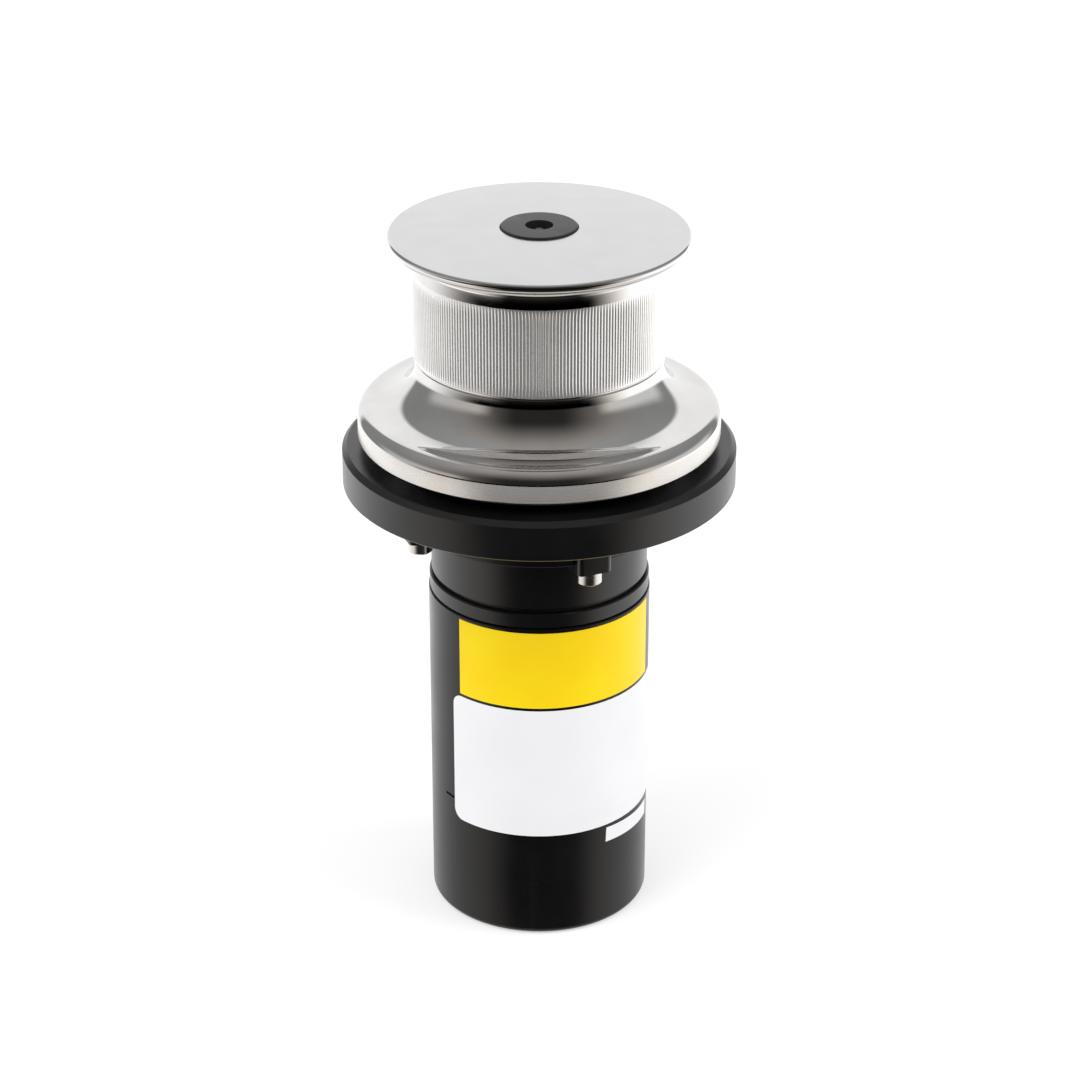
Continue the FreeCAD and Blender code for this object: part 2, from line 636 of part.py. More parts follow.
def bolt_head_and_shank(shank_r, extra, x, y, top_z):
    """A countersunk bolt's outline, widened by extra, with its flat head just inside the casing's floor."""
    head_z = CASING_BOTTOM_Z + 0.3 - extra
    head_r = 4.5 + extra
    bolt = turned([
        (0, head_z), (head_r, head_z), (head_r, head_z + 0.4), (shank_r, head_z + 0.4 + head_r - shank_r),
        (shank_r, top_z), (0, top_z),
    ])
    if extra:
        bolt = bolt.fuse(disc(head_r, CASING_BOTTOM_Z - 1, head_z + 0.1))
    bolt.translate(V(x, y, 0))
    return bolt


def through_bolts():
    """Two countersunk bolts from the casing's floor up into the front plate."""
    bolts = []
    for x, y in through_bolt_places():
        socket = hexagon(3.0, CASING_BOTTOM_Z, CASING_BOTTOM_Z + 2.2)
        socket.translate(V(x, y, 0))
        bolts.append(bolt_head_and_shank(THROUGH_BOLT_R, 0.0, x, y, -43.0).cut(socket))
    return bolts


def motor_magnets():
    """Four curved ferrite magnets, with gaps between them for the through bolts."""
    span = 68.0
    wedge = Part.makeCylinder(CASING_R, MAGNET_Z[1] - MAGNET_Z[0], V(0, 0, MAGNET_Z[0]), UP, span)
    magnet = tube(MAGNET_INNER_R, CASING_R - CASING_WALL - 0.05, *MAGNET_Z).common(wedge)
    return ring_of(magnet, 4, 45 - span / 2)


def armature_shaft():
    thick_r = 7.0
    sun_seat_z = INPUT_STAGE_Z[0] - 0.8
    top_z = INPUT_STAGE_Z[1] - 0.2
    rear_seat_top = REAR_BEARING_Z + MOTOR_BEARING["width"]
    return [turned([
        (0, top_z), (4.0, top_z), (4.0, sun_seat_z), (MOTOR_SHAFT_R, sun_seat_z),
        (MOTOR_SHAFT_R, FRONT_BEARING_Z), (thick_r, FRONT_BEARING_Z), (thick_r, rear_seat_top),
        (MOTOR_SHAFT_R, rear_seat_top), (MOTOR_SHAFT_R, REAR_BEARING_Z), (0, REAR_BEARING_Z),
    ])]


def slot_places():
    return [360.0 * i / CORE_SLOTS for i in range(CORE_SLOTS)]


def armature_core():
    """Laminated core with open slots for the windings."""
    core = tube(7.0, CORE_R, *CORE_Z)
    slot = block(20.0, 31.6, 3.0, CORE_Z[0] - 1, CORE_Z[1] + 1).fuse(
        block(30.0, CORE_R + 1, 1.1, CORE_Z[0] - 1, CORE_Z[1] + 1))
    return [core.cut(Part.makeCompound([spun(slot, angle) for angle in slot_places()]))]


def armature_windings():
    """Copper in every slot, joined by the bundled end turns at both ends of the core."""
    def end_turns(z_core, z_end):
        edge = math.copysign(2.5, z_end - z_core)
        return turned([(12, z_core), (31, z_core), (31, z_end - edge), (28.5, z_end), (14.5, z_end),
                       (12, z_end - edge)])
    copper = end_turns(CORE_Z[1], CORE_Z[1] + 9).fuse(end_turns(CORE_Z[0], CORE_Z[0] - 10))
    bar = block(20.2, 31.0, 2.8, CORE_Z[0] - 0.5, CORE_Z[1] + 0.5)
    return [copper.fuse([spun(bar, angle) for angle in slot_places()])]


def commutator():
    """Copper bars with slots between them, and a wider riser where the windings join."""
    z_low, z_high = COMMUTATOR_Z
    body = tube(7.0, COMMUTATOR_R, z_low, z_high).fuse(tube(7.0, COMMUTATOR_R + 2, z_high, z_high + 3))
    slot = block(COMMUTATOR_R - 0.9, COMMUTATOR_R + 3, 0.3, z_low - 1, z_high + 4)
    return [body.cut(Part.makeCompound(ring_of(slot, COMMUTATOR_BARS)))]


def brush_plate():
    """Insulating plate on four feet, with holes for the commutator and the through bolts."""
    z_low, z_high = BRUSH_PLATE_Z
    plate = tube(COMMUTATOR_R + 2.5, CASING_R - CASING_WALL - 0.2, z_low, z_high)
    for x, y in through_bolt_places():
        plate = plate.cut(disc(THROUGH_BOLT_R + 0.4, z_low - 1, z_high + 1, x, y))
    foot = disc(3.2, CASING_BOTTOM_Z + BOTTOM_WALL, z_low, 34.0)
    return [plate.fuse(ring_of(foot, 4, 45))]


def brush_angles():
    return [45 + 360.0 * i / BRUSHES for i in range(BRUSHES)]


def brush_holders():
    z_low = BRUSH_PLATE_Z[1]
    holder = block(17.0, 33.0, 5.0, z_low, z_low + 11).cut(block(16, 31.8, 4.0, z_low + 1, z_low + 10))
    return [spun(holder, angle) for angle in brush_angles()]


def brushes():
    """Carbon blocks whose inner ends are hollowed to the commutator's radius."""
    z_low = BRUSH_PLATE_Z[1]
    brush = block(COMMUTATOR_R - 1, 25.0, 3.9, z_low + 1.1, z_low + 9.9)
    brush = brush.cut(disc(COMMUTATOR_R + 0.05, z_low, z_low + 11))
    return [spun(brush, angle) for angle in brush_angles()]


def brush_springs():
    """Rolled strip springs between each brush and the end of its holder."""
    z_mid = BRUSH_PLATE_Z[1] + 5.5
    coil = disc(3.2, z_mid - 3, z_mid + 3, 28.5).cut(disc(2.2, z_mid - 4, z_mid + 4, 28.5))
    return [spun(coil, angle) for angle in brush_angles()]


def rear_bearing_washer():
    """Dished spring washer that loads the rear bearing."""
    floor = CASING_BOTTOM_Z + 2.3
    return [turned([(9.0, floor), (12.6, floor + 0.4), (12.6, REAR_BEARING_Z), (9.0, floor + 0.4)])]


def lead_grommet():
    """Rubber grommet in the back of the casing, with the hole that the supply lead passes through."""
    inner_r = CASING_R - CASING_WALL

    def plug(radius, y_low, y_high):
        return Part.makeCylinder(radius, y_high - y_low, V(0, y_low, GROMMET_Z), V(0, 1, 0))

    wall = disc(CASING_R, GROMMET_Z - 20, GROMMET_Z + 20)
    inside = disc(inner_r, GROMMET_Z - 20, GROMMET_Z + 20)
    outer = plug(GROMMET_HOLE_R + 2.5, 42.5, CASING_R + 2.2).cut(wall)
    inner = plug(GROMMET_HOLE_R + 1.6, inner_r - 3.2, CASING_R).common(inside)
    body = outer.fuse([inner, plug(GROMMET_HOLE_R, inner_r - 3, CASING_R + 1)])
    return [body.cut(plug(LEAD_R, inner_r - 10, CASING_R + 5)).removeSplitter()]


# ---- build ----

def all_nodes():
    nodes = {
        "drum": drum(),
        "drum_cap": drum_cap(),
        "drum_bolt": drum_bolt(),
        "drum_washer": drum_washer(),
        "drum_key": drum_key(),
        "output_shaft": output_shaft(),
        "shaft_circlip": shaft_circlip(),
        "shaft_seal": shaft_seal(),
        "bearing_circlips": bearing_circlips(),
        "base_flange": base_flange(),
        "gearbox_housing": gearbox_housing(),
        "gearbox_screws": gearbox_screws(),
        "flange_o_ring": flange_o_ring(),
        "plate_o_ring": plate_o_ring(),
        "ring_gear": [ring_gear()],
        "output_carrier": output_carrier(),
        "output_planet_pins": planet_pins(OUTPUT_STAGE_Z[0] - 1.2, OUTPUT_CARRIER_Z[1]),
        "middle_carrier": middle_carrier(),
        "output_sun": output_sun(),
        "input_planet_pins": planet_pins(INPUT_STAGE_Z[0] - 1.2, MIDDLE_CARRIER_Z[1]),
        "input_sun": input_sun(),
        "motor_front_plate": motor_front_plate(),
        "motor_shaft_seal": motor_shaft_seal(),
        "motor_casing": motor_casing(),
        "motor_through_bolts": through_bolts(),
        "motor_magnets": motor_magnets(),
        "armature_shaft": armature_shaft(),
        "armature_core": armature_core(),
        "armature_windings": armature_windings(),
        "commutator": commutator(),
        "brush_plate": brush_plate(),
        "brush_holders": brush_holders(),
        "brushes": brushes(),
        "brush_springs": brush_springs(),
        "rear_bearing_washer": rear_bearing_washer(),
        "lead_grommet": lead_grommet(),
    }
    for i in range(PLANETS):
        nodes[f"output_planet_{i + 1}"] = [planet_gear(i, OUTPUT_STAGE_Z)]
        nodes[f"input_planet_{i + 1}"] = [planet_gear(i, INPUT_STAGE_Z)]
    nodes.update(ball_bearing("upper_bearing", SHAFT_BEARING, UPPER_BEARING_Z))
    nodes.update(ball_bearing("lower_bearing", SHAFT_BEARING, LOWER_BEARING_Z))
    nodes.update(ball_bearing("front_motor_bearing", MOTOR_BEARING, FRONT_BEARING_Z))
    nodes.update(ball_bearing("rear_motor_bearing", MOTOR_BEARING, REAR_BEARING_Z))
    return nodes


def main():
    os.makedirs("parts", exist_ok=True)
    for name, solids in all_nodes().items():
        shape = solids[0] if len(solids) == 1 else Part.makeCompound(solids)
        shape.exportStep(f"parts/{name}.step")


main()
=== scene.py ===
import json
import math

import bpy
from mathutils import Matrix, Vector


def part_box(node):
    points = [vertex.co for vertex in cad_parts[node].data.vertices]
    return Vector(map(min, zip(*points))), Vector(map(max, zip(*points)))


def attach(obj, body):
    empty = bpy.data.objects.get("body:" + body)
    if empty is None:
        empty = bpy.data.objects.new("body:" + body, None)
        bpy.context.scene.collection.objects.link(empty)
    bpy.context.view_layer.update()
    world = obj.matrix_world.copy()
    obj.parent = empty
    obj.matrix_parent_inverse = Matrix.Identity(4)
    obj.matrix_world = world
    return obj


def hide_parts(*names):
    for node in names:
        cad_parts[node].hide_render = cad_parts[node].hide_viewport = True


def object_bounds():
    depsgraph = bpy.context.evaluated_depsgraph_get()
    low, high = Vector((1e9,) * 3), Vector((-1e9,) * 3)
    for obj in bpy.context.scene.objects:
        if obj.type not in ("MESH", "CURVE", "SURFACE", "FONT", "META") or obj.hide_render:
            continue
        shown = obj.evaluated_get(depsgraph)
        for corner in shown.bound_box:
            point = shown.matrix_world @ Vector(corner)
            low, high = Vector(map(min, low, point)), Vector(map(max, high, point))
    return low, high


bl_info = {
    "name": "Deck capstan",
    "version": (1, 0, 0),
    "blender": (4, 5, 0),
    "location": "3D View > Sidebar > Capstan",
    "description": "Dresses the packed capstan: turned steel drum, black castings, motor casing and labels",
    "category": "Object",
}

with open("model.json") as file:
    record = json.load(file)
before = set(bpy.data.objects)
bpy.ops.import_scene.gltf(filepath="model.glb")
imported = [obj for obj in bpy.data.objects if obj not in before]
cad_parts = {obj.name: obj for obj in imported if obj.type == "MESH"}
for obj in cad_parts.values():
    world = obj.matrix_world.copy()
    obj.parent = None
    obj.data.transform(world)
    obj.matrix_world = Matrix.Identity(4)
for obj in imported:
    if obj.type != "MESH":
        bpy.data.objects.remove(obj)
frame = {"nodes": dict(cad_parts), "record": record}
cad_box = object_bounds()

MM = 0.001
RECORD_SLOTS = {part["node"]: part["material_slot"] for part in frame["record"]["subparts"]}


# ---- sizes and colours ----

class CapstanSizes(bpy.types.PropertyGroup):
    """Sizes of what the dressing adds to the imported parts."""

    barrel_radius: bpy.props.FloatProperty(
        name="Barrel radius", description="Radius of the drum where the rope runs", default=0.050, unit="LENGTH")
    flute_count: bpy.props.IntProperty(
        name="Flutes", description="Number of grip flutes round the barrel", default=236, min=12)
    flute_depth: bpy.props.FloatProperty(
        name="Flute depth", description="How deep each grip flute is cut", default=0.00027, unit="LENGTH")
    flute_low: bpy.props.FloatProperty(
        name="Flutes' lower end", description="Height of the flutes' lower tips", default=0.0552, unit="LENGTH")
    flute_high: bpy.props.FloatProperty(
        name="Flutes' upper end", description="Height of the flutes' upper tips", default=0.0905, unit="LENGTH")
    label_thickness: bpy.props.FloatProperty(
        name="Label thickness", description="Thickness of the vinyl labels", default=0.00012, unit="LENGTH")


class CapstanColours(bpy.types.PropertyGroup):
    """Colours that a user may want to change, as display colours."""

    label_yellow: bpy.props.StringProperty(
        name="Upper label", description="Colour of the upper label, as a hex value", default="FFE000")
    label_white: bpy.props.StringProperty(
        name="Lower labels", description="Colour of the lower labels, as a hex value", default="F4F4F6")
    coat: bpy.props.StringProperty(
        name="Black coat", description="Colour of the coated castings, as a hex value", default="0B0B0C")
    casing: bpy.props.StringProperty(
        name="Motor casing", description="Colour of the motor's paint, as a hex value", default="0B0B0C")


# ---- modelling ----

def deselect():
    if bpy.context.mode != "OBJECT":
        bpy.ops.object.mode_set(mode="OBJECT")
    bpy.ops.object.select_all(action="DESELECT")


def arc(centre, radius, start, end, steps):
    """Points of an arc, in mm. Angles are in degrees from +r, towards +z."""
    points = []
    for i in range(steps + 1):
        angle = math.radians(start + (end - start) * i / steps)
        points.append((centre[0] + radius * math.cos(angle), centre[1] + radius * math.sin(angle)))
    return points


def start_vertex(name, place):
    """A new piece in edit mode that is one vertex: a small plane, merged at its centre."""
    deselect()
    bpy.ops.mesh.primitive_plane_add(size=MM, location=(0, 0, 0))
    piece = bpy.context.object
    piece.name = name
    piece.data.name = name
    bpy.ops.object.mode_set(mode="EDIT")
    bpy.ops.mesh.select_all(action="SELECT")
    bpy.ops.mesh.merge(type="CENTER")
    bpy.ops.transform.translate(value=place)
    return piece


def draw_on(points):
    """Extrudes the selected vertex from point to point. The first point is where it is already."""
    for here, there in zip(points, points[1:]):
        step = Vector(there) - Vector(here)
        bpy.ops.mesh.extrude_region_move(TRANSFORM_OT_translate={"value": step})


def close_up(piece, angle=30):
    """Merges what meets, turns all faces outwards and shades the piece smooth up to an angle."""
    bpy.ops.mesh.select_all(action="SELECT")
    bpy.ops.mesh.remove_doubles(threshold=2e-6)
    bpy.ops.mesh.normals_make_consistent(inside=False)
    bpy.ops.object.mode_set(mode="OBJECT")
    deselect()
    piece.select_set(True)
    bpy.context.view_layer.objects.active = piece
    bpy.ops.object.shade_smooth_by_angle(angle=math.radians(angle))
    return piece


def turned(name, outline, steps=360):
    """Spins a closed outline of (r, z) points, in mm, about Z."""
    points = [Vector((r * MM, 0, z * MM)) for r, z in outline + outline[:1]]
    piece = start_vertex(name, points[0])
    draw_on(points)
    bpy.ops.mesh.select_all(action="SELECT")
    bpy.ops.mesh.spin(steps=steps, angle=2 * math.pi, center=(0, 0, 0), axis=(0, 0, 1))
    return close_up(piece)


def smooth_copy(node, name, finish, body, angle=30):
    """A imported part's own shape with its triangles joined, so that its curved faces shade smoothly."""
    deselect()
    source = frame["nodes"][node]
    source.select_set(True)
    bpy.context.view_layer.objects.active = source
    bpy.ops.object.duplicate()
    piece = bpy.context.object
    piece.parent = None
    for key in list(piece.keys()):
        del piece[key]
    piece.name = name
    piece.data.name = name
    bpy.ops.object.mode_set(mode="EDIT")
    bpy.ops.mesh.select_all(action="SELECT")
    bpy.ops.mesh.customdata_custom_splitnormals_clear()
    close_up(piece, angle)
    dress(piece, materials[finish])
    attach(piece, body)
    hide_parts(node)


def dress(piece, *materials):
    piece.data.materials.clear()
    for material in materials:
        piece.data.materials.append(material)


def paint_faces(piece, index, test):
    """Gives material number index to the faces whose centre and normal pass the test."""
    for face in piece.data.polygons:
        if test(face.center, face.normal):
            face.material_index = index


# ---- materials ----

def linear(hex_colour):
    """A display colour, as a hex value, turned to the linear values that shaders use."""
    values = [int(hex_colour[i:i + 2], 16) / 255 for i in (0, 2, 4)]
    return tuple(v / 12.92 if v <= 0.04045 else ((v + 0.055) / 1.055) ** 2.4 for v in values) + (1.0,)


def add(tree, kind, settings, inputs):
    """Adds a node. An input is a value, or another node's socket to link to."""
    node = tree.nodes.new(kind)
    for key, value in settings.items():
        setattr(node, key, value)
    for key, value in inputs.items():
        if isinstance(value, bpy.types.NodeSocket):
            tree.links.new(value, node.inputs[key])
        else:
            node.inputs[key].default_value = value
    return node


def grain(tree, size_mm, stretch=(1, 1, 1), detail=3.0):
    """Noise on object coordinates with grains of a real size, stretched along some axes."""
    place = add(tree, "ShaderNodeTexCoord", {}, {})
    scaled = add(tree, "ShaderNodeMapping", {}, {"Vector": place.outputs["Object"], "Scale": stretch})
    return add(tree, "ShaderNodeTexNoise", {},
               {"Vector": scaled.outputs[0], "Scale": 1 / (size_mm * MM), "Detail": detail})


def turning_lines(tree, pitch_mm):
    """Fine circular tool marks: noise that varies only along the turned outline, here outwards and down."""
    place = add(tree, "ShaderNodeTexCoord", {}, {})
    split = add(tree, "ShaderNodeSeparateXYZ", {}, {0: place.outputs["Object"]})
    flat = add(tree, "ShaderNodeCombineXYZ", {}, {"X": split.outputs["X"], "Y": split.outputs["Y"]})
    out = add(tree, "ShaderNodeVectorMath", {"operation": "LENGTH"}, {0: flat.outputs[0]})
    along = add(tree, "ShaderNodeMath", {"operation": "SUBTRACT"}, {0: out.outputs["Value"], 1: split.outputs["Z"]})
    return add(tree, "ShaderNodeTexNoise", {"noise_dimensions": "1D"},
               {"W": along.outputs[0], "Scale": 1 / (pitch_mm * MM), "Detail": 4.0})


def spread(tree, value, low, high):
    """Maps a noise's middle range to low..high."""
    return add(tree, "ShaderNodeMapRange", {},
               {"Value": value, "From Min": 0.3, "From Max": 0.7, "To Min": low, "To Max": high}).outputs["Result"]


def mix_colours(tree, share, first, second):
    """Blends two display colours. The node's colours are its inputs 6 and 7, and its output 2."""
    return add(tree, "ShaderNodeMix", {"data_type": "RGBA"},
               {"Factor": share, 6: linear(first), 7: linear(second)}).outputs[2]


def tint(tree, value, dark, light):
    """Blends two display colours by a noise."""
    return mix_colours(tree, spread(tree, value, 0.0, 1.0), dark, light)


def bump(tree, height, depth_mm, strength=1.0):
    return add(tree, "ShaderNodeBump", {},
               {"Height": height, "Distance": depth_mm * MM, "Strength": strength}).outputs["Normal"]


def new_material(name):
    material = bpy.data.materials.new(name)
    material.use_nodes = True
    material.node_tree.nodes.clear()
    return material, material.node_tree


def shade(tree, inputs):
    shader = add(tree, "ShaderNodeBsdfPrincipled", {}, inputs)
    add(tree, "ShaderNodeOutputMaterial", {}, {"Surface": shader.outputs[0]})


def turned_steel(name, dark, light, roughness, pitch_mm, metallic=1.0, anisotropic=0.0, depth_mm=0.0004):
    """Stainless steel turned on a lathe: circular lines too fine to count, that smear reflections slightly."""
    material, tree = new_material(name)
    lines = turning_lines(tree, pitch_mm)
    handling = grain(tree, 14.0)
    shade(tree, {
        "Base Color": tint(tree, handling.outputs[0], dark, light),
        "Metallic": metallic,
        "Roughness": spread(tree, lines.outputs[0], roughness[0], roughness[1]),
        "Anisotropic": anisotropic,
        "Anisotropic Rotation": 0.25,
        "Normal": bump(tree, lines.outputs[0], depth_mm),
    })
    return material


def coated_metal(name, colour, roughness, grain_mm, depth_mm, ior=1.5):
    """A thin satin coat: its fine grain scatters light, so highlights are wide and soft."""
    material, tree = new_material(name)
    fine = grain(tree, grain_mm)
    clouds = grain(tree, 22.0)
    dusty = mix_colours(tree, spread(tree, clouds.outputs[0], 0.0, 0.08), colour, "2C2C2E")
    shade(tree, {
        "Base Color": dusty,
        "IOR": ior,
        "Roughness": spread(tree, clouds.outputs[0], roughness[0], roughness[1]),
        "Normal": bump(tree, fine.outputs[0], depth_mm, 0.5),
    })
    return material


def plain_metal(name, dark, light, roughness, grain_mm=0.4, stretch=(1, 1, 1), depth_mm=0.002):
    """Machined or drawn metal with a grain of its own size and direction."""
    material, tree = new_material(name)
    fine = grain(tree, grain_mm, stretch)
    shade(tree, {
        "Base Color": tint(tree, fine.outputs[0], dark, light),
        "Metallic": 1.0,
        "Roughness": spread(tree, fine.outputs[0], roughness[0], roughness[1]),
        "Normal": bump(tree, fine.outputs[0], depth_mm, 0.4),
    })
    return material


def dull(name, dark, light, roughness, grain_mm=0.5, depth_mm=0.01):
    """Rubber, plastic, carbon, ferrite or board: no metal, a fine grain, and a soft or no highlight."""
    material, tree = new_material(name)
    fine = grain(tree, grain_mm)
    shade(tree, {
        "Base Color": tint(tree, fine.outputs[0], dark, light),
        "Roughness": spread(tree, fine.outputs[0], roughness[0], roughness[1]),
        "Normal": bump(tree, fine.outputs[0], depth_mm, 0.4),
    })
    return material


def vinyl(name, colour, shade_colour):
    """Printed vinyl label: flat colour under a thin gloss film, with the slight waves of a stuck sheet."""
    material, tree = new_material(name)
    waves = grain(tree, 26.0, detail=1.0)
    shade(tree, {
        "Base Color": tint(tree, waves.outputs[0], shade_colour, colour),
        "Roughness": 0.34,
        "IOR": 1.36,
        "Normal": bump(tree, waves.outputs[0], 0.05, 0.5),
    })
    return material


def make_materials(colours):
    return {
        # polished stainless steel: a clear, slightly soft mirror
        "polished": turned_steel("polished stainless steel", "DAD9D8", "E2E1E0", (0.05, 0.07), 0.35,
                                 depth_mm=0.00006),
        # stainless steel faced on a lathe and satin-polished: an even grey, with reflections too soft to read
        "satin": turned_steel("satin-faced stainless steel", "D4D4D4", "D8D8D8", (0.22, 0.27), 0.30),
        # stainless rim brushed along its length: reflections smear upwards and downwards, and scratches scatter light
        "brushed": turned_steel("brushed stainless steel", "E2DED9", "EAE7E3", (0.25, 0.29), 0.25,
                                metallic=0.70, anisotropic=0.6, depth_mm=0.00012),
        # stainless flutes, freshly cut: bright, with rougher walls that scatter a little light
        "fluted": turned_steel("fluted stainless steel", "F0EFEE", "F8F8F7", (0.20, 0.26), 0.50, metallic=0.80),
        # anodised cast and machined aluminium: black, satin
        "coat": coated_metal("black anodised aluminium", colours.coat, (0.28, 0.34), 0.35, 0.003, 1.6),
        # enamelled steel tube: black, a little glossier than the castings
        "enamel": coated_metal("black enamelled steel", colours.casing, (0.25, 0.31), 0.6, 0.003, 1.42),
        # cold-headed stainless screws, tumbled bright: small soft glints
        "screw": plain_metal("bright stainless steel", "CFCDCA", "E6E4E1", (0.18, 0.30), 0.8),
        # moulded black nylon: its fine spark texture turns the sky into a grey sheen
        "cap": dull("black moulded nylon", "1C1C1E", "242426", (0.36, 0.44), 0.5, 0.006),
        # printed vinyl: flat colour under a thin gloss film
        "yellow": vinyl("yellow vinyl label", colours.label_yellow, "FFD800"),
        "white": vinyl("white vinyl label", colours.label_white, "F0F0F2"),
        # nitrile rubber: black with a dusty bloom
        "rubber": dull("nitrile rubber", "141414", "232323", (0.55, 0.75), 0.8, 0.01),
        # ground steel: grey, with fine marks across
        "steel": plain_metal("ground steel", "9C9C9E", "B4B4B6", (0.22, 0.36), 0.5, (1, 1, 6)),
        # lapped bearing steel: a bright, nearly clear mirror
        "bearing_steel": plain_metal("lapped bearing steel", "BDBDC0", "CECED1", (0.08, 0.16), 0.6),
        # case-hardened steel: dark grey from the furnace, ground flanks
        "gear_steel": plain_metal("case-hardened gear steel", "77777A", "919194", (0.28, 0.42), 0.4, (1, 1, 5)),
        # pressed brass sheet: warm yellow, lightly drawn
        "brass": plain_metal("pressed brass", "B08A45", "C79F58", (0.22, 0.34), 0.5),
        # copper wire under clear brown enamel: reddish, with ridges of single turns
        "copper": plain_metal("enamelled copper wire", "8E4523", "B9653A", (0.25, 0.40), 1.1, (1, 1, 0.1), 0.06),
        # turned copper: bright pink-brown, with fine marks across
        "commutator": plain_metal("turned copper", "B26B45", "CC8159", (0.20, 0.34), 0.4, (1, 1, 8)),
        # stacked sheets of electrical steel: blue-grey, with a line at each sheet
        "laminations": plain_metal("stacked electrical steel", "55565A", "7B7C80", (0.35, 0.5), 0.5,
                                   (0.02, 0.02, 1), 0.05),
        # ground ferrite: a dull charcoal ceramic
        "ferrite": dull("ground ferrite", "222326", "303135", (0.5, 0.65), 0.4),
        # phenolic board: matt brown
        "board": dull("phenolic board", "4A3120", "63432C", (0.45, 0.6), 0.7),
        # sintered carbon: dusty black
        "carbon": dull("sintered carbon", "161616", "2B2725", (0.5, 0.7), 0.3),
    }


# record slot -> finish
FINISH_OF_SLOT = {
    "polished_stainless": "polished", "steel": "steel", "bearing_steel": "bearing_steel",
    "stainless_screws": "screw", "black_casting": "coat", "black_steel": "enamel", "cap_plastic": "cap",
    "rubber": "rubber", "gear_steel": "gear_steel", "brass_cage": "brass", "ferrite": "ferrite",
    "lamination": "laminations", "copper": "copper", "commutator_copper": "commutator", "insulator": "board",
    "carbon": "carbon", "brush_brass": "brass",
}

# filled by the first operator, read by the others
materials = {}


# ---- operators: one for each piece or group of like pieces ----

class CAPSTAN_OT_finishes(bpy.types.Operator):
    """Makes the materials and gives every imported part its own"""

    bl_idname = "capstan.finishes"
    bl_label = "Finishes"

    def execute(self, context):
        materials.update(make_materials(context.scene.capstan_colours))
        for name, node in frame["nodes"].items():
            dress(node, materials[FINISH_OF_SLOT[RECORD_SLOTS[name]]])
        return {"FINISHED"}


class CAPSTAN_OT_drum(bpy.types.Operator):
    """Turns the drum's shell: domed top, lip, plain band, hollow flare, shoulder and rim"""

    bl_idname = "capstan.drum"
    bl_label = "Drum shell"

    # all in mm, as (r, z) or a radius
    BORE = 15.2
    TOP = 106.2
    TOP_DROP, TOP_REACH, TOP_CURVE = 1.9, 42.8, 1.8      # the top falls by this, over this width, with this power
    FLARE, FLARE_R = (67.0, 51.4), 17.5
    SHOULDER, SHOULDER_R = (67.0, 28.4), 5.5
    WALL = 3.2
    UNDER_SLEEVE = 0.6
    # which faces have a finish of their own, in metres
    TOP_FACE_FROM = 0.1041
    RIM_FACE, RIM_FACE_FROM_R = (0.0213, 0.0286), 0.0724

    def execute(self, context):
        sizes = context.scene.capstan_sizes
        barrel = sizes.barrel_radius / MM
        flutes_low, flutes_high = sizes.flute_low / MM - 0.5, sizes.flute_high / MM + 0.3
        core = barrel - self.UNDER_SLEEVE
        foot = barrel - 0.5
        outline = [
            (self.BORE, 91.0), (self.BORE, 105.9), (15.5, 106.19),
            *[(r, self.TOP - self.TOP_DROP * ((r - self.BORE) / self.TOP_REACH) ** self.TOP_CURVE)
              for r in (20, 26, 32, 38, 44, 50, 55)],
            *arc((58.0, 103.1), 1.2, 92, 0, 8),
            *arc((56.6, 102.5), 2.6, 0, -90, 12),
            *arc((54.5, 95.4), 4.5, 90, 180, 16),
            (barrel, flutes_high), (core, flutes_high), (core, flutes_low), (barrel, flutes_low),
            (barrel, 54.2), (foot + 0.25, 53.5), (foot, 53.2),
            *arc(self.FLARE, self.FLARE_R, 180, 270, 40),
            *arc(self.SHOULDER, self.SHOULDER_R, 90, 0, 20),
            *arc((71.3, 21.4), 1.2, 0, -90, 6),
            (69.3, 20.2), (69.3, 28.4),
            *arc(self.SHOULDER, self.SHOULDER_R - self.WALL, 15, 90, 4),
            *arc(self.FLARE, self.FLARE_R + self.WALL, 270, 180, 12),
            (46.3, 93.0), (42.3, 97.0), (22.0, 97.0), (18.0, 93.0), (18.0, 68.5), (11.0, 68.5), (11.0, 91.0),
        ]
        shell = turned("drum_shell", outline)
        dress(shell, materials["polished"], materials["satin"], materials["brushed"])
        rim_low, rim_high = self.RIM_FACE
        paint_faces(shell, 1, lambda at, normal: at.z > self.TOP_FACE_FROM and normal.z > 0.9)
        paint_faces(shell, 2, lambda at, normal: rim_low < at.z < rim_high and at.xy.length > self.RIM_FACE_FROM_R)
        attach(shell, "drum")
        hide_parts("drum")
        return {"FINISHED"}


